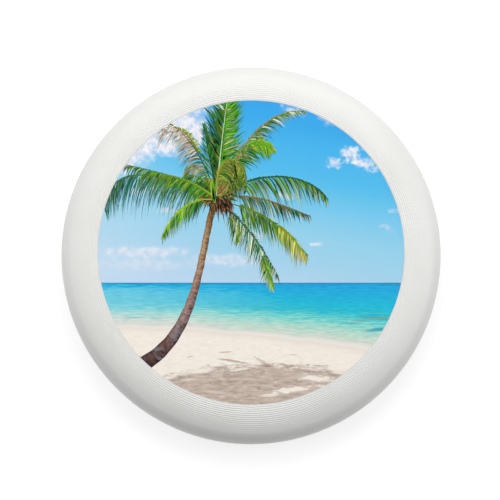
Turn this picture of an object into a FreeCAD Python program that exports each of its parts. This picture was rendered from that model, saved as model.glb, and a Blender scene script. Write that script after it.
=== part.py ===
import FreeCAD, Part
import math
import os

# A flying disc for throwing and catching: one moulded shell, with a round picture label set into its top.
# The shell is a flat plate, a rounded shoulder with fine flight rings, and a thick rim that turns down.
#
# Frame: millimetres, +Z up. The origin is on the disc's axis, at the level that the rim stands on.
# Every outline is drawn as (radius, height) in the half plane y = 0 and turned once round the Z axis.
# Angles in it are measured from the outward radius towards +Z.

# ---- driving dimensions -------------------------------------------------------------------------
disc_diameter = 273.0         # over the widest part of the rim
disc_height = 32.0            # from the foot of the rim to the land round the label
plate_thickness = 1.5         # the flat plate, under the label's seat
rim_wall = 4.6                # the rim, at its widest level
shoulder_width = 26.1         # from the land round the label out to the widest part of the rim

crown_radius = 38.0           # the gentle upper arc of the shoulder, which carries the flight rings
ring_count = 13               # flight rings side by side on that arc
ring_pitch = 1.5              # from crest to crest, along the arc
ring_height = 0.25            # crest over valley at the first ring, beside the label
ring_fade = 0.78              # the share of that height that is gone at the last ring
ring_margin = 0.2             # plain arc before the first ring and after the last

foot_tuck = 1.3               # how far the rim's foot lies inside the widest level
foot_round_share = 0.35       # each rounded edge of the foot, as a share of the wall that reaches it
core_draft = math.radians(1)  # the inner wall opens towards the foot, so that the core pulls out

adhesive_thickness = 0.05     # the label's three layers, from the bottom up
film_thickness = 0.15
laminate_thickness = 0.08
label_gap = 0.25              # round the label's edge
label_guard = 0.02            # how far the seat's edge stands over the label, so that it can't be picked off
land_width = 0.4              # flat land between the seat and the flight rings
seat_edge_break = 0.1         # broken edge at the seat's rim

gate_radius = 6.0             # dimple under the plate where the plastic was fed in
gate_depth = 0.45
gate_nub_radius = 1.6         # what is left of the feed, inside that dimple
gate_nub_height = 0.35
insert_radius = 38.0          # witness groove round the mould's round insert
insert_groove_width = 0.5
insert_groove_depth = 0.12

# ---- sizes that follow --------------------------------------------------------------------------
outer_radius = disc_diameter / 2
land_radius = outer_radius - shoulder_width
seat_radius = land_radius - land_width
label_radius = seat_radius - label_gap
label_thickness = adhesive_thickness + film_thickness + laminate_thickness
seat_level = disc_height - label_thickness - label_guard
underside_level = seat_level - plate_thickness

# The shoulder is two arcs, one running into the other: the crown, level where it leaves the land, and the
# bend, upright where it reaches the widest level.
crown_turn = (ring_count * ring_pitch + 2 * ring_margin) / crown_radius
crown_end = math.pi / 2 - crown_turn
crown_centre = (land_radius, disc_height - crown_radius)
bend_radius = (shoulder_width - crown_radius * math.sin(crown_turn)) / (1 - math.sin(crown_turn))
bend_centre = (
    outer_radius - bend_radius,
    disc_height - crown_radius * (1 - math.cos(crown_turn)) - bend_radius * math.cos(crown_turn),
)
widest_level = bend_centre[1]

# Inside, the same two arcs are drawn smaller by the rim's wall and lifted until the plate has its own
# thickness, so that the wall grows evenly from the plate to the rim.
inside_lift = rim_wall - (disc_height - underside_level)
inner_crown_radius = crown_radius - rim_wall
inner_bend_radius = bend_radius - rim_wall

# The skirt is one arc, from the widest level down into the foot's outer edge.
foot_edge = foot_round_share * (rim_wall - foot_tuck)
skirt_drop = widest_level - foot_edge
skirt_radius = (skirt_drop**2 + foot_tuck**2) / (2 * foot_tuck) + foot_edge
skirt_turn = math.asin(skirt_drop / (skirt_radius - foot_edge))


def on_circle(centre, radius, angle):
    """The point at that angle on a circle of the outline."""
    return (centre[0] + radius * math.cos(angle), centre[1] + radius * math.sin(angle))


def raised(point, height):
    """The point that much higher."""
    return (point[0], point[1] + height)


class Outline:
    """A closed chain of straight and round edges in the half plane y = 0, starting on the axis."""

    def __init__(self, level):
        self.start = self.here = (0.0, level)
        self.edges = []

    def line_to(self, radius, level):
        there = (radius, level)
        self.edges.append(Part.LineSegment(in_space(self.here), in_space(there)).toShape())
        self.here = there

    def arc_through(self, middle, end):
        arc = Part.Arc(in_space(self.here), in_space(middle), in_space(end))
        self.edges.append(arc.toShape())
        self.here = end

    def arc_round(self, centre, radius, first, last):
        """An arc about a centre, with a short line to its start if the chain isn't there yet."""
        start = on_circle(centre, radius, first)
        if math.dist(start, self.here) > 1e-6:
            self.line_to(*start)
        middle = on_circle(centre, radius, (first + last) / 2)
        self.arc_through(middle, on_circle(centre, radius, last))

    def turned(self):
        """The solid that the chain makes, closed along the axis, when it is turned round Z."""
        self.line_to(*self.start)
        face = Part.Face(Part.Wire(self.edges))
        return face.revolve(FreeCAD.Vector(0, 0, 0), FreeCAD.Vector(0, 0, 1), 360)


def in_space(point):
    return FreeCAD.Vector(point[0], 0, point[1])


def draw_label_seat(outline):
    """The flat seat of the label, its low wall with a broken edge, and the land beside it."""
    outline.line_to(seat_radius, seat_level)
    outline.line_to(seat_radius, disc_height - seat_edge_break)
    outline.line_to(seat_radius + seat_edge_break, disc_height)
    outline.line_to(land_radius, disc_height)


def draw_flight_rings(outline):
    """Rounded rings side by side: crests on the crown's arc, valleys below it, each finer than the last."""
    step = ring_pitch / crown_radius
    angle = math.pi / 2 - ring_margin / crown_radius
    outline.line_to(*on_circle(crown_centre, crown_radius - ring_height, angle))
    for ring in range(1, ring_count + 1):
        crest = on_circle(crown_centre, crown_radius, angle - step / 2)
        depth = ring_height * (1 - ring_fade * ring / ring_count)
        outline.arc_through(crest, on_circle(crown_centre, crown_radius - depth, angle - step))
        angle -= step
    outline.line_to(*on_circle(crown_centre, crown_radius, crown_end))


def draw_rim_outside(outline):
    """From the end of the rings over the bend, down the skirt and round the foot's outer edge."""
    outline.arc_round(bend_centre, bend_radius, crown_end, 0)
    skirt_centre = (outer_radius - skirt_radius, widest_level)
    outline.arc_round(skirt_centre, skirt_radius, 0, -skirt_turn)
    edge_centre = on_circle(skirt_centre, skirt_radius - foot_edge, -skirt_turn)
    outline.arc_round(edge_centre, foot_edge, -skirt_turn, -math.pi / 2)


def draw_rim_inside(outline):
    """Across the foot's flat, round its inner edge, up the drafted wall and in under the shoulder."""
    bend = raised(bend_centre, inside_lift)
    crown = raised(crown_centre, inside_lift)
    wall_top = on_circle(bend, inner_bend_radius, core_draft)
    edge_level = foot_edge * (1 - math.sin(core_draft))
    edge_start = wall_top[0] + (wall_top[1] - edge_level) * math.tan(core_draft)
    edge_centre = (edge_start + foot_edge * math.cos(core_draft), foot_edge)
    outline.arc_round(edge_centre, foot_edge, -math.pi / 2, core_draft - math.pi)
    outline.arc_round(bend, inner_bend_radius, core_draft, crown_end)
    outline.arc_round(crown, inner_crown_radius, crown_end, math.pi / 2)


def draw_underside(outline):
    """The plate's underside, with the insert's witness groove and the dimple where it was gated."""
    half_groove = insert_groove_width / 2
    outline.line_to(insert_radius + half_groove, underside_level)
    outline.line_to(insert_radius, underside_level + insert_groove_depth)
    outline.line_to(insert_radius - half_groove, underside_level)
    outline.line_to(gate_radius, underside_level)
    outline.line_to(gate_radius - gate_depth, underside_level + gate_depth)
    outline.line_to(gate_nub_radius, underside_level + gate_depth)
    outline.line_to(gate_nub_radius, underside_level + gate_depth - gate_nub_height)
    outline.line_to(0, underside_level + gate_depth - gate_nub_height)


def disc_body():
    """The whole moulding, as one shell."""
    outline = Outline(seat_level)
    draw_label_seat(outline)
    draw_flight_rings(outline)
    draw_rim_outside(outline)
    draw_rim_inside(outline)
    draw_underside(outline)
    return outline.turned()


def label_layer(level, thickness):
    """One round layer of the label, lying on that level."""
    outline = Outline(level)
    outline.line_to(label_radius, level)
    outline.line_to(label_radius, level + thickness)
    outline.line_to(0, level + thickness)
    return outline.turned()


film_level = seat_level + adhesive_thickness
laminate_level = film_level + film_thickness

nodes = {
    "disc_body": disc_body(),
    "label_adhesive": label_layer(seat_level, adhesive_thickness),
    "picture_film": label_layer(film_level, film_thickness),
    "clear_laminate": label_layer(laminate_level, laminate_thickness),
}

os.makedirs("parts", exist_ok=True)
for name, shape in nodes.items():
    shape.exportStep(f"parts/{name}.step")
    print(f"{name}: {len(shape.Solids)} solid, {shape.Volume / 1000:.2f} cm3, valid {shape.isValid()}")
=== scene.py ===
import math
import random

import bpy
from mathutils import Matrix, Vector

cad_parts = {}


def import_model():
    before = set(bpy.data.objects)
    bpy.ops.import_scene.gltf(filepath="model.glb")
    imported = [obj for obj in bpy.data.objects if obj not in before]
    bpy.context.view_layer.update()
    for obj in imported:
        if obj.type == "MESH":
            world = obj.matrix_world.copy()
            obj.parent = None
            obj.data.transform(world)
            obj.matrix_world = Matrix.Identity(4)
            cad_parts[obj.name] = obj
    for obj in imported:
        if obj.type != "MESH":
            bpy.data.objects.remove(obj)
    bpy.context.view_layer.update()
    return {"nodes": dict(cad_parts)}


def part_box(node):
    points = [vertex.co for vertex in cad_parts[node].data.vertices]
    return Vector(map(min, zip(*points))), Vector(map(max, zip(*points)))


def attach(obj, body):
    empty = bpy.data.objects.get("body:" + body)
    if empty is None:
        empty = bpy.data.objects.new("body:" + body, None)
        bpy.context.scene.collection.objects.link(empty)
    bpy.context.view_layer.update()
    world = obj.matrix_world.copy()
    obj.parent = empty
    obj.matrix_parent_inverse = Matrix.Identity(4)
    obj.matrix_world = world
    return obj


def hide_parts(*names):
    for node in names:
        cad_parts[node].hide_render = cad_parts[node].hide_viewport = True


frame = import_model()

random.seed(7)
MM = 0.001

# ---- sizes of the moulding, in millimetres, as the CAD has them ---------------------------------
disc_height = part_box("disc_body")[1][2] / MM
outer_radius = 136.5
plate_thickness = 1.5
rim_wall = 4.6
shoulder_width = 26.1
crown_radius = 38.0
ring_count = 13
ring_pitch = 1.5
ring_height = 0.25            # of the first ring; the last has lost ring_fade of it
ring_fade = 0.78
ring_margin = 0.2
foot_tuck = 1.3               # how far the rim's foot lies inside its widest level
foot_edge = 0.35 * (rim_wall - foot_tuck)
core_draft = math.radians(1)
seat_level = 31.70
seat_radius = 110.0
label_radius = 109.75
film_low = 31.76
film_top = 31.88              # the printed face; the palm's inks lie on it, inside the clear film
laminate_low = film_top + 0.002
laminate_top = 31.98
trunk_lift = 0.006            # the trunk's inks and the lowest of the crown's, over the printed face
crown_lift = 0.008
frond_step = 0.0026           # each frond's inks lie this much over those of the one behind it
tuft_step = 0.003
leaf_step = 0.001             # and a frond's leaflets this much over one another, its rib over them all
blade_step = 0.0008
rib_lift = 0.008
print_margin = 0.03           # the white left between the palm's inks and the label's edge
hairline = (0.06, 0.09)       # half the height of the mould's parting line, at its crest and at its foot
insert_radius = 38.0          # the mould's round insert, whose edge leaves a witness groove underneath
groove = (0.25, 0.12)         # that groove's half width and its depth
gate_radius = 6.0             # the dimple where the plastic was let in
gate_depth = 0.45
nub_radius = 1.6              # the rest of the gate, cut off in the dimple's middle
nub_depth = 0.1
turns = 256                   # steps round the disc's axis


def linear(code):
    """A colour's hex value as the linear red, green, blue and alpha that a shader takes."""
    parts = [int(code[i:i + 2], 16) / 255 for i in (1, 3, 5)]
    return [c / 12.92 if c <= 0.04045 else ((c + 0.055) / 1.055) ** 2.4 for c in parts] + [1.0]


def clear_selection():
    bpy.ops.object.select_all(action="DESELECT")


# ---- modelling ----------------------------------------------------------------------------------
def arc(centre, radius, first, last, count):
    """Points along an arc of an outline, its first point left out."""
    angles = [first + (last - first) * (i + 1) / count for i in range(count)]
    return [(centre[0] + radius * math.cos(a), centre[1] + radius * math.sin(a)) for a in angles]


def lathe(name, outline):
    """Extrudes one vertex along an outline of (radius, height) and spins the line once round Z."""
    clear_selection()
    bpy.ops.mesh.primitive_plane_add(size=MM)
    piece = bpy.context.object
    piece.name = name
    bpy.ops.object.mode_set(mode="EDIT")
    bpy.ops.mesh.select_all(action="SELECT")
    bpy.ops.mesh.merge(type="CENTER")
    here = Vector((0, 0, 0))
    for index, (radius, height) in enumerate(outline):
        there = Vector((radius * MM, 0, height * MM))
        if index == 0:
            bpy.ops.transform.translate(value=there)
        else:
            bpy.ops.mesh.extrude_region_move(TRANSFORM_OT_translate={"value": there - here})
        here = there
    bpy.ops.mesh.select_all(action="SELECT")
    bpy.ops.mesh.spin(steps=turns, angle=2 * math.pi, center=(0, 0, 0), axis=(0, 0, 1))
    bpy.ops.mesh.select_all(action="SELECT")
    bpy.ops.mesh.remove_doubles(threshold=0.002 * MM)
    bpy.ops.mesh.normals_make_consistent(inside=False)
    bpy.ops.object.mode_set(mode="OBJECT")
    bpy.ops.object.shade_smooth_by_angle(angle=math.radians(28))
    return piece


def shell_outline():
    """The moulding's section, from the middle of the label's seat round to the middle of the underside."""
    land_radius = outer_radius - shoulder_width
    crown_turn = (ring_count * ring_pitch + 2 * ring_margin) / crown_radius
    crown_end = math.pi / 2 - crown_turn
    crown = (land_radius, disc_height - crown_radius)
    reach = math.sin(crown_turn)
    bend_radius = (shoulder_width - crown_radius * reach) / (1 - reach)
    drop = crown_radius * (1 - math.cos(crown_turn)) + bend_radius * math.cos(crown_turn)
    bend = (outer_radius - bend_radius, disc_height - drop)
    widest = bend[1]
    line = [(r, seat_level) for r in (0, 30, 60, 90, 109, seat_radius)]
    line += [(seat_radius, disc_height - 0.1), (seat_radius + 0.03, disc_height - 0.03)]
    line += [(seat_radius + 0.1, disc_height), (land_radius, disc_height)]

    step = ring_pitch / crown_radius
    angle = math.pi / 2 - ring_margin / crown_radius
    points = 10
    for ring in range(ring_count):
        for i in range(points):
            u = i / points
            fading = 1 - ring_fade * (ring + u) / ring_count
            depth = ring_height * fading * (1 - math.sin(math.pi * u) ** 0.8)
            line += arc(crown, crown_radius - depth, 0, angle - step * u, 1)
        angle -= step
    line += arc(crown, crown_radius - ring_height * (1 - ring_fade), 0, angle, 1)
    line += arc(crown, crown_radius, 0, crown_end, 1)
    # the raised hairline where the mould's two halves meet, with room left for it above and below
    bend_end, skirt_start = 0.05, -0.025
    line += arc(bend, bend_radius, crown_end, bend_end, 26)
    beside = line[-1][0]
    crest, foot = hairline
    line += [(beside, widest + foot), (outer_radius, widest + crest)]
    line += [(outer_radius, widest - crest), (beside, widest - foot)]

    skirt_drop = widest - foot_edge
    skirt_radius = (skirt_drop**2 + foot_tuck**2) / (2 * foot_tuck) + foot_edge
    skirt_turn = math.asin(skirt_drop / (skirt_radius - foot_edge))
    skirt = (outer_radius - skirt_radius, widest)
    line += arc(skirt, skirt_radius, skirt_start, -skirt_turn, 8)
    edge = arc(skirt, skirt_radius - foot_edge, 0, -skirt_turn, 1)[0]
    line += arc(edge, foot_edge, -skirt_turn, -math.pi / 2, 8)

    lift = rim_wall - (disc_height - (seat_level - plate_thickness))
    inner_bend = (bend[0], bend[1] + lift)
    inner_crown = (crown[0], crown[1] + lift)
    inner_radius = bend_radius - rim_wall
    wall_top = arc(inner_bend, inner_radius, 0, core_draft, 1)[0]
    edge_level = foot_edge * (1 - math.sin(core_draft))
    wall_foot = wall_top[0] + (wall_top[1] - edge_level) * math.tan(core_draft)
    edge = (wall_foot + foot_edge * math.cos(core_draft), foot_edge)
    line += arc(edge, foot_edge, 0, -math.pi / 2, 1)
    line += arc(edge, foot_edge, -math.pi / 2, core_draft - math.pi, 8)
    line += arc(inner_bend, inner_radius, 0, core_draft, 1)
    line += arc(inner_bend, inner_radius, core_draft, crown_end, 16)
    line += arc(inner_crown, crown_radius - rim_wall, crown_end, math.pi / 2, 12)

    under = seat_level - plate_thickness
    # the witness groove of the mould's round insert, then the gate's dimple with the nub in its middle
    half_groove, groove_depth = groove
    line += [(r, under) for r in (90, 64, insert_radius + half_groove)]
    line += [(insert_radius, under + groove_depth), (insert_radius - half_groove, under)]
    line += [(r, under) for r in (20, gate_radius)]
    line += [(r, under + gate_depth) for r in (gate_radius - gate_depth, 3.4, nub_radius + 0.1)]
    line += [(nub_radius, under + nub_depth + 0.02), (nub_radius - 0.1, under + nub_depth)]
    line += [(0, under + nub_depth)]
    return line


def thin_disc(name, low, high):
    """A round layer of the label with its edges just broken."""
    edge = 0.02
    return lathe(name, [
        (0, high), (40, high), (80, high), (label_radius - edge, high),
        (label_radius, high - edge), (label_radius, low), (80, low), (0, low),
    ])


# ---- the palm, laid as flat inks ----------------------------------------------------------------
def curve_point(points, t):
    """A point on the Bezier curve of four corners."""
    a, b, c, d = (Vector(p) for p in points)
    s = 1 - t
    return a * s**3 + b * 3 * s * s * t + c * 3 * s * t * t + d * t**3


def curve_way(points, t):
    """The unit direction of that curve."""
    a, b, c, d = (Vector(p) for p in points)
    s = 1 - t
    return ((b - a) * s * s + (c - b) * 2 * s * t + (d - c) * t * t).normalized()


def blend_ink(one, two, share):
    return [p + (q - p) * share for p, q in zip(one, two)]


def grid_patch(name, across, along):
    """A flat patch one wide from -1 to 1 and one long from 0 to 1, with an ink colour at each point."""
    clear_selection()
    bpy.ops.mesh.primitive_grid_add(x_subdivisions=across, y_subdivisions=along, size=2)
    patch = bpy.context.object
    patch.name = name
    bpy.ops.object.mode_set(mode="EDIT")
    bpy.ops.mesh.select_all(action="SELECT")
    bpy.ops.transform.resize(value=(1, 0.5, 1))
    bpy.ops.transform.translate(value=(0, 0.5, 0))
    bpy.ops.object.mode_set(mode="OBJECT")
    patch.data.color_attributes.new(name="ink", type="FLOAT_COLOR", domain="POINT")
    patch.data.uv_layers[0].name = "OFBake"
    return patch


def lay(patch, line, width, ink, level):
    """Copies a patch and lays it along a line; width and ink are functions of place along and across."""
    copy = patch.copy()
    copy.data = patch.data.copy()
    bpy.context.collection.objects.link(copy)
    inks = copy.data.color_attributes["ink"].data
    edge = label_radius - print_margin
    for vertex in copy.data.vertices:
        side, t = vertex.co.x, vertex.co.y
        place, way = line(t)
        place = place + Vector((way.y, -way.x)) * side * width(t, side)
        if place.length > edge:
            place = place.normalized() * edge
        vertex.co = Vector((place.x, place.y, level)) * MM
        inks[vertex.index].color = ink(t, side)
    return copy


def share_sheet(parts):
    """Gives each part a square cell of its own on one texture sheet."""
    cells = math.ceil(math.sqrt(len(parts)))
    margin = 0.1              # of a cell, left free on each side
    for index, part in enumerate(parts):
        row, column = divmod(index, cells)
        for corner in part.data.uv_layers[0].data:
            across = column + margin + (1 - 2 * margin) * corner.uv.x
            along = row + margin + (1 - 2 * margin) * corner.uv.y
            corner.uv = (across / cells, along / cells)


def leaflet(patch, root, heading, length, breadth, droop, inks, level):
    """One narrow blade from a frond's rib, curving down under its own weight."""
    way = Vector((math.cos(heading), math.sin(heading)))
    bend = root + way * length * 0.45
    tip = root + way * length * (1 - 0.55 * droop) + Vector((0, -length * droop))
    foot_ink, tip_ink = inks
    shade = random.uniform(0.55, 0.95)

    def line(t):
        place = root * (1 - t) ** 2 + bend * 2 * t * (1 - t) + tip * t * t
        return place, ((bend - root) * (1 - t) + (tip - bend) * t).normalized()

    def width(t, side):
        return breadth * (0.3 + 0.7 * math.sin(math.pi * t**0.7)) * (1 - t**3)

    def ink(t, side):
        tone = blend_ink(foot_ink, tip_ink, t**1.3)
        light = shade if side > 0.5 else 1.0
        return [c * light for c in tone[:3]] + [1.0]

    if min(root.length, (root + tip).length / 2) > label_radius:
        return None
    return lay(patch, line, width, ink, level)


INKS = {name: linear(code) for name, code in {
    "night": "#17341A", "deep": "#24501C", "leaf": "#3F7726", "grass": "#5A962A", "bright": "#5FAE16",
    "lime": "#98B83E", "sun": "#D4D454", "gold": "#A89C4C", "olive": "#74802F", "tan": "#9C8A55",
    "straw": "#CDB9A0", "pink": "#DCC8C6", "pale": "#CFDDBC", "white": "#F2F5EE", "teal": "#2C6658",
    "sea": "#4A939C", "haze": "#93C6D2", "dry": "#8A6842", "bark": "#513826", "rust": "#946242",
}.items()}

# Each frond, from the back of the crown to the front: the four corners of its rib; the leaflets' length
# on its left and right, seen along the rib; their angle to the rib at its foot and tip; how far they
# droop; their breadth; where they begin; their inks "foot > tip" on the left and on the right; and the
# rib's own inks.
FRONDS = [
    ("small", [(-27, 44), (-34, 60), (-44, 70), (-48, 55)], (13, 8), (60, 40), 0.6, 0.5, 0.1,
     "olive leaf grass tan deep > teal haze leaf lime", "lime olive sun grass > lime sun grass",
     "dry olive"),
    ("small_low", [(-27, 42), (-33, 52), (-42, 60), (-50, 52)], (15, 6), (62, 40), 0.7, 0.5, 0.1,
     "deep leaf grass night > teal sea leaf deep", "leaf grass olive > grass lime", "olive deep"),
    ("upper_left", [(-26, 44), (-34, 66), (-44, 85), (-59, 93)], (21, 15), (66, 30), 0.6, 0.45, 0.2,
     "straw leaf deep teal pink olive > pink straw haze teal white",
     "olive leaf grass tan > pale grass lime leaf", "deep night"),
    ("upper_left_tuft", [(-38, 72), (-44, 84), (-49, 90), (-57, 90)], (14, 9), (70, 40), 0.5, 0.45, 0.0,
     "pink straw dry > pink straw white haze", "lime sun olive grass > lime olive pale", "olive dry"),
    ("upright", [(-25, 41), (-22.5, 66), (-20, 95), (-14, 130)], (27, 25), (38, 34), 0.02, 0.8, 0.12,
     "leaf deep leaf deep olive > leaf teal deep sea grass", "leaf bright deep bright > bright grass leaf",
     "pale pale"),
    ("upright_left", [(-26, 50), (-29, 64), (-32, 78), (-34, 92)], (9, 10), (26, 22), 0.0, 0.55, 0.1,
     "teal sea leaf > haze sea teal haze", "deep leaf leaf > deep leaf", "deep deep"),
    ("upright_frayed", [(-24, 44), (-21, 62), (-19.5, 80), (-17, 104)], (2, 18), (70, 62), 0.03, 0.42, 0.45,
     "leaf > leaf", "bright straw leaf bright grass > straw grass leaf bright", "bright grass"),
    ("left_far", [(-52, 50), (-78, 58), (-103, 62), (-104.5, 29)], (25, 4), (60, 24), 0.8, 0.42, 0.0,
     "deep leaf teal olive teal > teal sea haze sea haze deep", "leaf olive > teal leaf", "olive deep"),
    ("left", [(-27, 38), (-40, 52), (-64, 57), (-89, 63)], (26, 4), (62, 26), 0.8, 0.45, 0.05,
     "leaf grass lime olive deep grass > teal haze leaf deep sea", "grass olive lime > leaf olive",
     "olive leaf"),
    ("left_near", [(-27, 40), (-38, 50), (-54, 55), (-72, 58)], (13, 5), (55, 30), 0.7, 0.5, 0.05,
     "grass leaf lime bright deep > grass leaf deep", "lime grass olive > leaf lime", "lime grass"),
    ("upper_right", [(-22, 45), (-6, 82), (14, 104), (38, 102)], (4, 15), (52, 28), 0.35, 0.42, 0.2,
     "olive tan > lime tan", "tan olive leaf grass pale deep > grass leaf pale teal haze", "tan olive"),
    ("right_tuft", [(-14, 58), (-6, 74), (6, 83), (15, 74)], (11, 17), (52, 36), 0.4, 0.5, 0.0,
     "leaf tan grass deep > grass lime leaf", "leaf grass deep tan > grass bright leaf teal bright",
     "olive leaf"),
    ("right_glow", [(-4, 76), (4, 82), (12, 80), (17, 73)], (8, 11), (60, 40), 0.4, 0.55, 0.1,
     "grass bright > lime sun", "bright grass lime > sun lime bright", "grass lime"),
    ("right", [(-20, 42), (5, 60), (42, 58), (55, 38)], (5, 22), (58, 26), 0.6, 0.45, 0.15,
     "leaf deep > deep teal", "leaf deep grass night olive grass > teal leaf haze deep lime pale",
     "deep leaf"),
    ("right_low", [(-22, 38), (-2, 44), (18, 36), (42, 26)], (4, 18), (56, 26), 0.6, 0.42, 0.22,
     "dry olive > olive", "deep leaf dry night teal grass > haze teal deep sea leaf white", "rust dry"),
    ("lower_right", [(-20, 36), (0, 33), (22, 20), (40, -2)], (6, 19), (58, 26), 0.5, 0.45, 0.18,
     "leaf olive > grass lime", "leaf deep olive grass lime grass > leaf lime pale grass pale leaf",
     "olive olive"),
    ("lower_right_tip", [(20, 19), (28, 13), (35, 6), (40, -6)], (4, 15), (56, 30), 0.7, 0.5, 0.0,
     "lime olive > lime pale", "lime olive sun gold > sun straw lime pale straw", "olive lime"),
    ("down_left", [(-15, 26), (-11, 21), (-8, 15), (-9, 8)], (9, 13), (40, 22), 0.35, 0.5, 0.0,
     "olive lime grass > leaf grass", "lime olive sun grass deep > grass pale leaf teal", "gold lime"),
    ("down", [(-22, 34), (-7, 25), (7, 5), (19, -17)], (3, 20), (60, 34), 0.06, 0.4, 0.16,
     "deep leaf > deep pale leaf", "leaf deep teal pale grass > pale leaf pale deep white grass",
     "bark leaf"),
    ("down_tip", [(8, -3), (11, -13), (14, -20), (16, -26)], (6, 11), (40, 20), 0.3, 0.5, 0.0,
     "olive grass > lime grass", "grass lime olive > lime pale grass haze", "leaf grass"),
    ("lower_left", [(-28, 38), (-42, 40), (-58, 27), (-64, 10)], (15, 6), (52, 22), 0.6, 0.45, 0.15,
     "grass lime leaf bright deep > leaf grass pale teal", "lime sun bright > lime sun", "lime lime"),
    ("middle_back", [(-25, 46), (-24, 68), (-6, 72), (-5, 48)], (4, 24), (66, 70), 0.8, 0.5, 0.0,
     "olive leaf > olive", "deep olive leaf night grass > deep leaf olive night", "olive olive"),
    ("middle_side", [(-14, 62), (-8, 68), (-3, 62), (-3.5, 44)], (3, 14), (60, 60), 0.85, 0.45, 0.0,
     "olive leaf > olive", "deep olive leaf grass > leaf deep grass olive", "olive leaf"),
    ("middle", [(-25, 44), (-25, 72), (-7, 75), (-3.5, 50)], (3, 23), (66, 58), 0.8, 0.38, 0.08,
     "gold tan > gold", "gold tan olive leaf lime olive > olive leaf gold grass deep leaf", "gold olive"),
]
# A frond's lower and upper layer: the millimetres from one leaflet to the next, and how light they are
LAYERS = ((1.25, 0.6), (0.95, 1.05))


def lay_frond(blade, strip, frond, level):
    """A frond: leaflets on both sides of a rib, the lower layer darker, and the rib over them."""
    corners, reach, angles, droop, breadth, bare, left, right, rib = frond[1:]
    rough = [curve_point(corners, i / 40) for i in range(41)]
    span = sum((q - p).length for p, q in zip(rough, rough[1:]))
    inks = [[words.split() for words in side.split(">")] for side in (left, right)]
    made = []
    for layer, (gap, tone) in enumerate(LAYERS):
        count = int(span * (1 - bare) / gap)
        for i in range(count):
            t = bare + (1 - bare) * (i + random.random()) / count
            root, way = curve_point(corners, t), curve_way(corners, t)
            heading = math.atan2(way.y, way.x)
            size = (0.45 + 0.55 * math.sin(math.pi * min(1, t * 0.95 + 0.1) ** 0.8)) * (1 - 0.35 * t**4)
            for side in (0, 1):
                turn = math.radians(angles[0] + (angles[1] - angles[0]) * t + random.gauss(0, 7))
                light = tone * random.uniform(0.65, 1.25)
                pair = [[c * light for c in INKS[random.choice(words)][:3]] + [1] for words in inks[side]]
                made.append(leaflet(
                    blade, root, heading + (turn if side == 0 else -turn),
                    reach[side] * size * random.uniform(0.62, 1.15), breadth * random.uniform(0.7, 1.2),
                    droop * random.uniform(0.7, 1.2), pair, level + leaf_step * (layer * 3 + i % 3),
                ))
    foot_ink, tip_ink = (INKS[word] for word in rib.split())
    made.append(lay(
        strip, lambda t: (curve_point(corners, t), curve_way(corners, t)),
        lambda t, side: 0.42 * (1 - t) ** 1.5 + 0.12,
        lambda t, side: [c * (0.85 - 0.25 * side) for c in blend_ink(foot_ink, tip_ink, t)[:3]] + [1],
        level + rib_lift,
    ))
    return made


def join(name, parts):
    clear_selection()
    for part in parts:
        part.select_set(True)
    bpy.context.view_layer.objects.active = parts[0]
    bpy.ops.object.join()
    joined = bpy.context.object
    joined.name = name
    return joined


def tuft(blade, count, middle, spread, headings, lengths, breadths, inks, droop, level):
    """Loose blades about a point, such as the dead fibres at the crown's heart."""
    made = []
    for i in range(count):
        heading = math.radians(random.uniform(*headings))
        stray = Vector((random.uniform(-1, 1) * spread[0], random.uniform(-1, 1) * spread[1]))
        root = Vector(middle) + stray
        light = random.uniform(0.6, 1.2)
        pair = [[c * light for c in INKS[random.choice(inks.split())][:3]] + [1] for _ in range(2)]
        made.append(leaflet(
            blade, root, heading, random.uniform(*lengths), random.uniform(*breadths), droop, pair,
            level + blade_step * (i % 4),
        ))
    return made


# Loose blades laid over a frond, by its name: how many, their middle and spread, headings, lengths,
# breadths, inks and droop
TUFTS = {
    "upright_left": [
        (16, (-22, 107), (3, 5), (122, 150), (6, 11), (0.35, 0.5), "pale haze teal leaf pale", 0.0),
    ],
    "upper_left_tuft": [
        (34, (-58, 89), (5, 4), (178, 238), (8, 15), (0.26, 0.45), "straw tan straw white pink haze", 0.4),
    ],
    "down": [
        (60, (-22, 37), (5, 3.5), (-100, -30), (6, 13), (0.4, 0.8), "bark dry rust bark night", 0.25),
        (22, (-30, 38), (3, 2), (150, 215), (4, 9), (0.4, 0.7), "dry rust bark tan", 0.2),
    ],
    "middle": [
        (26, (-22, 42), (4.5, 3), (20, 75), (5, 12), (0.4, 0.8), "gold olive tan rust", 0.0),
        (9, (-27, 37), (1.2, 1.5), (80, 100), (13, 20), (0.9, 1.3), "lime grass gold grass", 0.0),
    ],
}
# The blades at the crown's heart, under every frond, described in the same way
HEART = (190, (-25, 44), (10, 7), (0, 360), (6, 13), (0.5, 0.9), "deep olive leaf night bark grass", 0.3)


def palm_crown():
    """Every frond, from the back to the front, with the brown heart and its fibres between them."""
    blade = grid_patch("blade", 2, 5)
    strip = grid_patch("strip", 2, 24)
    level = film_top + crown_lift
    parts = tuft(blade, *HEART, level)
    for frond in FRONDS:
        level += frond_step
        parts += lay_frond(blade, strip, frond, level)
        for loose in TUFTS.get(frond[0], []):
            level += tuft_step
            parts += tuft(blade, *loose, level)
    parts = [part for part in parts if part]
    share_sheet(parts)
    crown = join("print_palm_crown", parts)
    for patch in (blade, strip):
        bpy.data.objects.remove(patch)
    return crown


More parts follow.
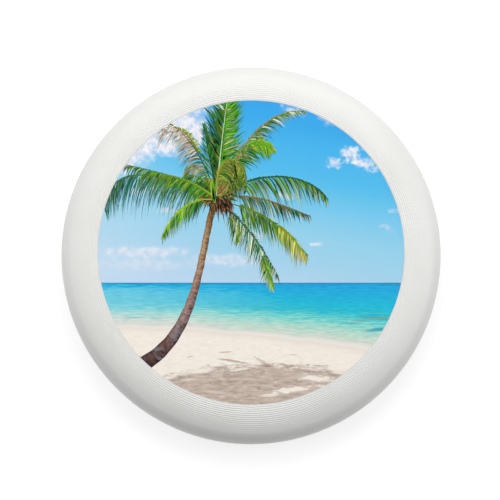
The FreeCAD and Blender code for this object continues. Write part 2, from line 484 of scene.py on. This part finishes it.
def palm_trunk():
    """The leaning trunk, wider towards its foot, cut off by the edge of the picture."""
    strip = grid_patch("trunk_strip", 10, 120)
    corners = [(-26, 38), (-38, -6), (-37, -61), (-81, -83)]

    def line(t):
        return curve_point(corners, t), curve_way(corners, t)

    def width(t, side):
        ring_scars = 0.1 * math.sin(t * 150) * (1 - t) + 0.12 * math.sin(t * 61 + side)
        return 2.2 + 0.8 * t + 4.6 * max(0, t - 0.38) ** 1.2 + ring_scars

    trunk = lay(strip, line, width, lambda t, side: (t, side * 0.5 + 0.5, 0, 1), film_top + trunk_lift)
    bpy.data.objects.remove(strip)
    trunk.name = "print_palm_trunk"
    return trunk


# ---- materials ----------------------------------------------------------------------------------
def add(tree, kind, sockets=None, stops=None, **settings):
    """Adds a node with its settings; sockets are given a value or another node's output."""
    made = tree.nodes.new("ShaderNode" + kind)
    for key, value in settings.items():
        setattr(made, key, value)
    for key, value in (sockets or {}).items():
        if isinstance(value, bpy.types.NodeSocket):
            tree.links.new(value, made.inputs[key])
        else:
            made.inputs[key].default_value = value
    if stops:
        ramp = made.color_ramp
        while len(ramp.elements) < len(stops):
            ramp.elements.new(0.5)
        for element, (place, colour) in zip(ramp.elements, stops):
            element.position = place
            element.color = linear(colour)
    return made


def new_material(name):
    made = bpy.data.materials.new(name)
    made.use_nodes = True
    made.node_tree.nodes.clear()
    return made, made.node_tree


def finish_material(tree, shader):
    output = add(tree, "OutputMaterial")
    tree.links.new(shader.outputs[0], output.inputs[0])


def polyethylene():
    """White low-density polyethylene, injection moulded: waxy, satin, with a fine orange peel from the
    mould, faint handling marks and a slightly uneven sheen."""
    material, tree = new_material("moulded_white_polyethylene")
    place = add(tree, "TexCoord").outputs["Object"]
    cloudy = add(tree, "TexNoise", {"Vector": place, "Scale": 28.0, "Detail": 4.0}).outputs[0]
    peel = add(tree, "TexNoise", {"Vector": place, "Scale": 900.0, "Detail": 3.0}).outputs[0]
    colour = add(tree, "Mix", {0: cloudy, 6: linear("#D0D0CD"), 7: linear("#D6D6D4")}, data_type="RGBA")
    sheen = add(tree, "MapRange", {0: cloudy, 1: 0.3, 2: 0.7, 3: 0.38, 4: 0.5})
    bump = add(tree, "Bump", {"Strength": 0.12, "Distance": 0.00004, "Height": peel})
    shader = add(tree, "BsdfPrincipled", {
        "Base Color": colour.outputs[2], "Roughness": sheen.outputs[0], "IOR": 1.51,
        "Normal": bump.outputs[0],
    })
    finish_material(tree, shader)
    return material


# Blots of the picture: middle, half length and height, turn in degrees, strength
CLOUDS = [
    ((-64, 92), (50, 18), 40, 1.0), ((-88, 66), (13, 7), 52, 0.9), ((-50, 95), (16, 9), 15, 1.0),
    ((-60, 76), (14, 8), 0, 1.0), ((-40, 85), (13, 10), 60, 1.0),
    ((-75, 0), (36, 4.4), 1, 0.6), ((-80, -9), (38, 5), 0, 0.35),
    ((-18, -6), (28, 5), -2, 0.5), ((-60, 30), (10, 2.4), 0, 0.55), ((-78, 45), (11, 4), 10, 0.5),
    ((24, 41), (9, 4), -10, 0.6), ((4, 12), (9, 3), 0, 0.4),
]
WISPS = [
    ((81, 64), (20, 5.5), -15, 0.95), ((71, 72), (10, 6), 8, 0.95), ((60, 65), (7, 5), 0, 0.8),
    ((46.5, 5.4), (7, 2.4), 0, 0.7), ((98, 17), (10, 3), -20, 0.35), ((105, 30), (9, 2.6), 8, 0.35),
    ((30, 102), (11, 4.5), -18, 0.6), ((54, 95), (8, 4), -40, 0.35),
]
WEED = [
    ((89, -47.6), (13, 1.1), -1, 0.75), ((97, -48.4), (8, 0.9), 2, 0.8), ((78, -49.5), (7, 0.8), 0, 0.5),
]
DEEP_WEED = [
    ((91, -56), (11, 1.5), 6, 0.85), ((70, -51.5), (9, 0.8), 0, 0.5), ((-84, -47.4), (9, 0.5), 2, 0.5),
    ((-68, -47.8), (6, 0.45), -2, 0.45),
]
SUNNY_GAPS = [
    ((46, -91), (19, 3.4), -6, 1.0), ((29, -99.5), (21, 3.0), 8, 1.0), ((-36, -86), (13, 2.2), 8, 0.9),
    ((14, -103), (12, 1.6), 4, 0.8), ((63, -87), (8, 1.6), -8, 0.8), ((-8, -84.5), (9, 1.4), 8, 0.8),
    ((52, -97), (10, 1.6), -4, 0.7), ((-44, -92), (9, 1.3), 6, 0.5), ((40, -84), (8, 1.1), -4, 0.6),
    ((-26, -101), (12, 1.3), -6, 0.4),
]
TWIGS = [
    ((-18.5, -72.2), (5.5, 0.5), 3, 0.9), ((-13, -78.6), (12, 0.9), -9, 0.9),
    ((8, -79), (8, 1.2), -30, 0.55), ((-44, -75.5), (3, 0.6), 12, 0.6), ((30, -74), (4, 0.5), -6, 0.5),
]


def printed(tree, colour):
    """The print's shader: inks mixed a little deeper than they look, as the film's sheen lifts them. The
    clear film over them is nearly index-matched, so the print's own gloss is weak."""
    deeper = add(tree, "VectorMath", {0: colour, 1: (1.02,) * 3, 2: (-0.022,) * 3},
                 operation="MULTIPLY_ADD").outputs[0]
    darkest, lightest = (0.004,) * 3, (0.96,) * 3
    deeper = add(tree, "VectorMath", {0: deeper, 1: darkest}, operation="MAXIMUM").outputs[0]
    deeper = add(tree, "VectorMath", {0: deeper, 1: lightest}, operation="MINIMUM").outputs[0]
    return add(tree, "BsdfPrincipled", {
        "Base Color": deeper, "Roughness": 0.35, "Specular IOR Level": 0.15,
    })


def blots(tree, place, noise, raggedness, edge, shapes):
    """Where any of the blots is, from 0 to its strength: ellipses whose edges the noise breaks up. The
    edge is where a blot begins and where it is full, as a share of its size."""
    mask = None
    through = 1000            # millimetres, so that the blot is the same at every level of the label
    for middle, half, turn, strength in shapes:
        local = add(tree, "Mapping", {
            "Vector": place, "Location": (*middle, 0), "Rotation": (0, 0, math.radians(turn)),
            "Scale": (*half, through),
        }, vector_type="TEXTURE").outputs[0]
        away = add(tree, "VectorMath", {0: local}, operation="LENGTH").outputs["Value"]
        away = add(tree, "Math", {0: noise, 1: -raggedness, 2: away}, operation="MULTIPLY_ADD").outputs[0]
        here = add(tree, "MapRange", {0: away, 1: edge[0], 2: edge[1], 3: 0.0, 4: strength},
                   interpolation_type="SMOOTHSTEP").outputs[0]
        if mask is not None:
            here = add(tree, "Math", {0: mask, 1: here}, operation="MAXIMUM").outputs[0]
        mask = here
    return mask


def picture():
    """Ink-jet print on white vinyl: a bright summer sky over a shallow sea and a sandy beach. Drawn in
    millimetres from the disc's axis, so a distance below is a distance on the label."""
    material, tree = new_material("printed_beach_picture")
    place = add(tree, "TexCoord").outputs["Object"]
    place = add(tree, "VectorMath", {0: place, "Scale": 1000.0}, operation="SCALE").outputs[0]
    axes = add(tree, "SeparateXYZ", {0: place}).outputs
    x, y = axes[0], axes[1]

    # sky: deeper blue upwards and to the right, hazy towards the horizon and the left
    lean = add(tree, "Math", {0: x, 1: 0.17, 2: -11.9}, operation="MULTIPLY_ADD").outputs[0]
    height = add(tree, "Math", {0: y, 1: lean}, operation="ADD").outputs[0]
    height = add(tree, "MapRange", {0: height, 1: -45.0, 2: 105.0}).outputs[0]
    sky = add(tree, "ValToRGB", {0: height}, stops=[
        (0.0, "#BDD6ED"), (0.13, "#AFD3EA"), (0.2, "#A4D1E9"), (0.34, "#96CFE8"), (0.42, "#88CAE8"),
        (0.49, "#79C6EA"), (0.56, "#67C0E7"), (0.63, "#57B9E8"), (0.77, "#4BB1E7"), (0.86, "#42A8E4"),
        (1.0, "#38A0E6"),
    ]).outputs[0]
    haze = add(tree, "MapRange", {0: x, 1: -40.0, 2: -110.0, 3: 0.0, 4: 0.24}).outputs[0]
    sky = add(tree, "Mix", {0: haze, 6: sky, 7: linear("#D2E4F2")}, data_type="RGBA").outputs[2]

    # clouds: soft heaps whose edges are broken up by one fractal noise
    puffs = add(tree, "TexNoise", {
        "Vector": place, "Scale": 0.11, "Detail": 5.0, "Roughness": 0.54,
    }).outputs[0]
    mask = blots(tree, place, puffs, 1.6, (0.38, -0.5), CLOUDS)
    billow = add(tree, "TexNoise", {
        "Vector": place, "Scale": 0.22, "Detail": 4.0, "Roughness": 0.56,
    }).outputs[0]
    wisps = blots(tree, place, billow, 2.6, (-0.3, -1.3), WISPS)
    mask = add(tree, "Math", {0: mask, 1: wisps}, operation="MAXIMUM").outputs[0]
    cloud_ink = add(tree, "ValToRGB", {0: billow}, stops=[
        (0.34, "#CDD6E8"), (0.48, "#E0E2ED"), (0.62, "#F0F0F3"),
    ]).outputs[0]
    sky = add(tree, "Mix", {0: mask, 6: sky, 7: cloud_ink}, data_type="RGBA").outputs[2]

    # sea: from the horizon down to a waterline that falls away to the right
    slope = add(tree, "Math", {0: x, 1: -0.00031, 2: -0.085}, operation="MULTIPLY_ADD").outputs[0]
    shore = add(tree, "Math", {0: x, 1: slope, 2: -57.1}, operation="MULTIPLY_ADD").outputs[0]
    wobble = add(tree, "TexNoise", {"Vector": place, "Scale": 0.035, "Detail": 3.0}).outputs[0]
    shore = add(tree, "Math", {0: wobble, 1: 5.0, 2: shore}, operation="MULTIPLY_ADD").outputs[0]
    shore = add(tree, "Math", {0: shore, 1: 2.5}, operation="SUBTRACT").outputs[0]
    horizon = -22.2
    out = add(tree, "MapRange", {0: y, 1: horizon, 2: shore}, clamp=False).outputs[0]
    streaks = add(tree, "Mapping", {"Vector": place, "Scale": (0.045, 0.62, 1)}).outputs[0]
    ripple = add(tree, "TexNoise", {
        "Vector": streaks, "Scale": 1.0, "Detail": 5.0, "Roughness": 0.62,
    }).outputs[0]
    fine_streaks = add(tree, "Mapping", {"Vector": place, "Scale": (0.13, 1.3, 1)}).outputs[0]
    fine = add(tree, "TexNoise", {
        "Vector": fine_streaks, "Scale": 1.0, "Detail": 3.0, "Roughness": 0.6,
    }).outputs[0]
    rippled = add(tree, "Math", {0: ripple, 1: 0.42, 2: out}, operation="MULTIPLY_ADD").outputs[0]
    rippled = add(tree, "Math", {0: fine, 1: 0.22, 2: rippled}, operation="MULTIPLY_ADD").outputs[0]
    rippled = add(tree, "Math", {0: rippled, 1: 0.32}, operation="SUBTRACT").outputs[0]
    near_sea = add(tree, "ValToRGB", {0: rippled}, stops=[
        (0.0, "#20A0D8"), (0.09, "#3AB8E0"), (0.2, "#6ACAE2"), (0.42, "#72CBDF"), (0.55, "#7CD0DD"),
        (0.7, "#A6DAD9"), (0.85, "#CADDD7"), (1.0, "#DCDCD6"),
    ]).outputs[0]
    far_sea = add(tree, "ValToRGB", {0: rippled}, stops=[
        (0.0, "#149CD4"), (0.06, "#10A6DC"), (0.22, "#1AB0DA"), (0.4, "#2EBAD6"), (0.52, "#36BCCF"),
        (0.64, "#6BD0CC"), (0.76, "#9AD8CC"), (0.9, "#C2DACB"), (1.0, "#CFDACD"),
    ]).outputs[0]
    side = add(tree, "MapRange", {0: x, 1: -90.0, 2: 28.0}).outputs[0]
    sea = add(tree, "Mix", {0: side, 6: near_sea, 7: far_sea}, data_type="RGBA").outputs[2]
    glints = add(tree, "MapRange", {0: fine, 1: 0.35, 2: 0.65, 3: 0.9, 4: 1.09}).outputs[0]
    sea = add(tree, "VectorMath", {0: sea, "Scale": glints}, operation="SCALE").outputs[0]

    far_line = add(tree, "MapRange", {
        0: y, 1: horizon - 0.95, 2: horizon - 0.45, 3: 0.0, 4: 0.7,
    }).outputs[0]
    sea = add(tree, "Mix", {0: far_line, 6: sea, 7: linear("#1C7CA8")}, data_type="RGBA").outputs[2]
    for shapes, ink in ((WEED, "#6F9A92"), (DEEP_WEED, "#2F9DB8")):
        weed = blots(tree, place, fine, 2.0, (0.1, -0.5), shapes)
        sea = add(tree, "Mix", {0: weed, 6: sea, 7: linear(ink)}, data_type="RGBA").outputs[2]

    # sand: wet and greyer by the water, dry and cream above, mottled and grained
    flat_place = add(tree, "Mapping", {"Vector": place, "Scale": (0.16, 0.5, 1)}).outputs[0]
    mottle = add(tree, "TexNoise", {
        "Vector": flat_place, "Scale": 1.0, "Detail": 9.0, "Roughness": 0.7,
    }).outputs[0]
    dry = add(tree, "ValToRGB", {0: mottle}, stops=[
        (0.3, "#E9DED1"), (0.45, "#F2E9DE"), (0.6, "#F5EEE4"), (0.75, "#F9F4EC"),
    ]).outputs[0]
    damp = add(tree, "MapRange", {0: out, 1: 1.0, 2: 1.3}).outputs[0]
    wet = add(tree, "ValToRGB", {0: damp}, stops=[
        (0.0, "#DEDDD4"), (0.2, "#E9E4DE"), (0.35, "#E2D8CF"), (0.6, "#EDE3D8"), (1.0, "#F3EAE0"),
    ]).outputs[0]
    sand = add(tree, "Mix", {0: damp, 6: wet, 7: dry}, data_type="RGBA").outputs[2]

    # small dark marks and twigs on the sand
    marks = add(tree, "Mapping", {"Vector": place, "Scale": (0.35, 1.3, 1)}).outputs[0]
    marks = add(tree, "TexNoise", {
        "Vector": marks, "Scale": 1.0, "Detail": 3.0, "Roughness": 0.6,
    }).outputs[0]
    speck = add(tree, "MapRange", {0: marks, 1: 0.64, 2: 0.74, 3: 0.0, 4: 0.5}).outputs[0]
    twig = blots(tree, place, marks, 1.6, (0.25, -0.2), TWIGS)
    speck = add(tree, "Math", {0: speck, 1: twig}, operation="MAXIMUM").outputs[0]
    sand = add(tree, "Mix", {0: speck, 6: sand, 7: linear("#B9A798")}, data_type="RGBA").outputs[2]

    # the crown's shade on the sand, ragged along its top and broken by sunny gaps
    hump = add(tree, "Math", {0: x, 1: 12.0}, operation="SUBTRACT").outputs[0]
    hump = add(tree, "Math", {0: hump, 1: 38.0}, operation="DIVIDE").outputs[0]
    hump = add(tree, "Math", {0: hump, 1: hump}, operation="MULTIPLY").outputs[0]
    edge = add(tree, "Math", {0: hump, 1: -2.7, 2: -80.5}, operation="MULTIPLY_ADD").outputs[0]
    into = add(tree, "Math", {0: edge, 1: y}, operation="SUBTRACT").outputs[0]
    long_patches = add(tree, "Mapping", {"Vector": place, "Scale": (0.11, 0.42, 1)}).outputs[0]
    patches = add(tree, "TexNoise", {
        "Vector": long_patches, "Scale": 1.0, "Detail": 8.0, "Roughness": 0.72, "Distortion": 0.4,
    }).outputs[0]
    ragged = add(tree, "Math", {0: patches, 1: 22.0, 2: into}, operation="MULTIPLY_ADD").outputs[0]
    shade = add(tree, "MapRange", {0: ragged, 1: 9.2, 2: 13.6}, interpolation_type="SMOOTHSTEP").outputs[0]
    sunny = blots(tree, place, patches, 3.2, (-0.75, -1.25), SUNNY_GAPS)
    sunny = add(tree, "Math", {0: 1.0, 1: sunny}, operation="SUBTRACT").outputs[0]
    shade = add(tree, "Math", {0: shade, 1: sunny}, operation="MULTIPLY").outputs[0]
    shade_ink = add(tree, "ValToRGB", {0: patches}, stops=[
        (0.32, "#E4D9CF"), (0.44, "#CEC0B6"), (0.54, "#C1B2A9"), (0.66, "#A3948C"),
    ]).outputs[0]
    shade_ink = add(tree, "Mix", {0: 0.4, 6: shade_ink, 7: dry}, data_type="RGBA",
                    blend_type="MULTIPLY").outputs[2]
    sand = add(tree, "Mix", {0: shade, 6: sand, 7: shade_ink}, data_type="RGBA").outputs[2]

    waterline = add(tree, "MapRange", {0: out, 1: 0.985, 2: 1.02}).outputs[0]
    ground = add(tree, "Mix", {0: waterline, 6: sea, 7: sand}, data_type="RGBA").outputs[2]
    above = add(tree, "MapRange", {0: y, 1: horizon - 0.25, 2: horizon + 0.25}).outputs[0]
    scene = add(tree, "Mix", {0: above, 6: ground, 7: sky}, data_type="RGBA").outputs[2]

    grain = add(tree, "TexNoise", {"Vector": place, "Scale": 5.0, "Detail": 2.0}).outputs[0]
    bump = add(tree, "Bump", {"Strength": 0.05, "Distance": 0.00002, "Height": grain})
    shader = printed(tree, scene)
    tree.links.new(bump.outputs[0], shader.inputs["Normal"])
    finish_material(tree, shader)
    return material


def leaf_inks():
    """The same print where the palm's leaves are: each blade holds its own inks."""
    material, tree = new_material("printed_leaf_inks")
    ink = add(tree, "VertexColor", layer_name="ink").outputs[0]
    place = add(tree, "TexCoord").outputs["Object"]
    grain = add(tree, "TexNoise", {"Vector": place, "Scale": 1500.0, "Detail": 2.0}).outputs[0]
    uneven = add(tree, "MapRange", {0: grain, 3: 0.8, 4: 1.2}).outputs[0]
    colour = add(tree, "VectorMath", {0: ink, "Scale": uneven}, operation="SCALE").outputs[0]
    finish_material(tree, printed(tree, colour))
    return material


def trunk_inks():
    """The same print where the palm's trunk is: ringed bark, tan above, greyer below, dark at the foot."""
    material, tree = new_material("printed_trunk_inks")
    place_on = add(tree, "VertexColor", layer_name="ink").outputs[0]
    parts = add(tree, "SeparateColor", {0: place_on}).outputs
    along, across = parts[0], parts[1]
    place = add(tree, "TexCoord").outputs["Object"]
    rough = add(tree, "TexNoise", {
        "Vector": place, "Scale": 480.0, "Detail": 6.0, "Roughness": 0.75,
    }).outputs[0]
    broad = add(tree, "TexNoise", {
        "Vector": place, "Scale": 140.0, "Detail": 4.0, "Roughness": 0.6,
    }).outputs[0]
    lit = add(tree, "ValToRGB", {0: along}, stops=[
        (0.0, "#604426"), (0.08, "#8E6C44"), (0.22, "#BDA07A"), (0.4, "#B09078"), (0.55, "#B08C82"),
        (0.68, "#A28A84"), (0.8, "#806660"), (1.0, "#504444"),
    ]).outputs[0]
    dark = add(tree, "ValToRGB", {0: along}, stops=[
        (0.0, "#352414"), (0.1, "#523820"), (0.25, "#62442A"), (0.4, "#5C4032"), (0.55, "#4E3E40"),
        (0.68, "#3E383E"), (0.8, "#3A2C2C"), (1.0, "#242022"),
    ]).outputs[0]
    # old leaf scars run across the trunk
    scar_place = add(tree, "Mapping", {"Vector": place_on, "Scale": (95.0, 1.3, 1.0)}).outputs[0]
    scars = add(tree, "TexNoise", {
        "Vector": scar_place, "Scale": 1.0, "Detail": 4.0, "Roughness": 0.7,
    }).outputs[0]
    turned = add(tree, "MapRange", {0: across, 1: 0.7, 2: 1.0, 3: 0.0, 4: 0.65}).outputs[0]
    facing = add(tree, "Math", {0: across, 1: turned}, operation="SUBTRACT").outputs[0]
    facing = add(tree, "Math", {0: rough, 1: 2.1, 2: facing}, operation="MULTIPLY_ADD").outputs[0]
    facing = add(tree, "Math", {0: scars, 1: 2.0, 2: facing}, operation="MULTIPLY_ADD").outputs[0]
    facing = add(tree, "MapRange", {0: facing, 1: 1.95, 2: 2.95}).outputs[0]
    bark = add(tree, "Mix", {0: facing, 6: dark, 7: lit}, data_type="RGBA").outputs[2]
    low = add(tree, "MapRange", {0: along, 1: 0.45, 2: 0.7}).outputs[0]
    for start, end, amount, ink in ((0.55, 0.62, 0.5, "#644038"), (0.44, 0.37, 0.65, "#7A7C86")):
        patch = add(tree, "MapRange", {0: broad, 1: start, 2: end, 3: 0.0, 4: amount}).outputs[0]
        patch = add(tree, "Math", {0: patch, 1: low}, operation="MULTIPLY").outputs[0]
        bark = add(tree, "Mix", {0: patch, 6: bark, 7: linear(ink)}, data_type="RGBA").outputs[2]
    finish_material(tree, printed(tree, bark))
    return material


def clear_film():
    """Clear vinyl laminate, calendered and semi-gloss: it only adds a soft sheen over the inks."""
    material, tree = new_material("clear_laminate_film")
    place = add(tree, "TexCoord").outputs["Object"]
    wave = add(tree, "TexNoise", {"Vector": place, "Scale": 160.0, "Detail": 2.0}).outputs[0]
    bump = add(tree, "Bump", {"Strength": 0.08, "Distance": 0.00005, "Height": wave})
    shader = add(tree, "BsdfPrincipled", {
        "Base Color": linear("#5A5E60"), "Roughness": 0.22, "Alpha": 0.04, "Normal": bump.outputs[0],
    })
    finish_material(tree, shader)
    return material


def adhesive():
    """Clear acrylic pressure-sensitive adhesive: faintly yellow, seen only at the label's edge."""
    material, tree = new_material("acrylic_adhesive")
    place = add(tree, "TexCoord").outputs["Object"]
    cloudy = add(tree, "TexNoise", {"Vector": place, "Scale": 80.0, "Detail": 3.0}).outputs[0]
    colour = add(tree, "Mix", {0: cloudy, 6: linear("#DCD9CC"), 7: linear("#E8E6DC")}, data_type="RGBA")
    shader = add(tree, "BsdfPrincipled", {"Base Color": colour.outputs[2], "Roughness": 0.5})
    finish_material(tree, shader)
    return material


def dress(piece, material, slot, *nodes):
    piece.data.materials.clear()
    piece.data.materials.append(material)
    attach(piece, "root")
    if nodes:
        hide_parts(*nodes)


# ---- the object ---------------------------------------------------------------------------------
dress(lathe("shell", shell_outline()), polyethylene(), "moulded_shell", "disc_body")
dress(thin_disc("print_film", film_low, film_top), picture(), "printed_film", "picture_film")
dress(palm_trunk(), trunk_inks(), "printed_film")
dress(palm_crown(), leaf_inks(), "printed_film")
dress(thin_disc("laminate", laminate_low, laminate_top), clear_film(), "clear_film", "clear_laminate")
frame["nodes"]["label_adhesive"].material_slots[0].material = adhesive()


# ---- floor, light and camera, in metres ---------------------------------------------------------
floor_size = 12               # its edge stays out of every view
light_distance = 1.6
fill_light = 0.125
# Each soft light: bearing from +Y, elevation, width and height, power
LIGHTS = {
    "key": (0, 50, (1.6, 0.9), 21.3),
    "left_high": (-80, 56, (0.9, 1.2), 8.6),
    "right_high": (80, 56, (0.9, 1.2), 5.6),
    "left_low": (-90, 25, (0.9, 0.9), 1.7),
    "right_low": (90, 25, (0.9, 0.9), 5.8),
}


def floor():
    clear_selection()
    bpy.ops.mesh.primitive_plane_add(size=floor_size)
    made = bpy.context.object
    made.name = "floor"
    material, tree = new_material("pale_floor")
    shader = add(tree, "BsdfPrincipled", {
        "Base Color": linear("#8C8C8C"), "Roughness": 0.9,
        "Emission Color": (1, 1, 1, 1), "Emission Strength": 0.75,
    })
    finish_material(tree, shader)
    made.data.materials.append(material)


def area_light(name, azimuth, elevation, size, power):
    """A soft light aimed at the disc."""
    a, e = math.radians(azimuth), math.radians(elevation)
    data = bpy.data.lights.new(name, "AREA")
    data.shape = "RECTANGLE"
    data.size, data.size_y = size
    data.energy = power
    light = bpy.data.objects.new(name, data)
    bpy.context.collection.objects.link(light)
    away = Vector((math.sin(a) * math.cos(e), math.cos(a) * math.cos(e), math.sin(e)))
    light.location = away * light_distance
    light.rotation_euler = away.to_track_quat("Z", "Y").to_euler()


def world():
    made = bpy.data.worlds.new("studio")
    bpy.context.scene.world = made
    made.use_nodes = True
    background = made.node_tree.nodes["Background"]
    background.inputs[0].default_value = (1, 1, 1, 1)
    background.inputs[1].default_value = fill_light


def camera():
    """A long lens far off, a little below the disc's axis."""
    elevation = math.radians(82.8)
    distance = 4.0
    seen_width = 0.3585
    data = bpy.data.cameras.new("camera")
    data.sensor_width = 36.0
    data.lens = data.sensor_width * distance / seen_width
    made = bpy.data.objects.new("camera", data)
    bpy.context.collection.objects.link(made)
    back = Vector((0, -math.cos(elevation), math.sin(elevation)))
    aim = Vector((-0.0008, 0.0014, disc_height * MM))
    made.location = aim + back * distance
    made.rotation_euler = back.to_track_quat("Z", "Y").to_euler()
    bpy.context.scene.camera = made


floor()
world()
for name, light in LIGHTS.items():
    area_light(name, *light)
camera()
bpy.context.scene.view_settings.view_transform = "Standard"
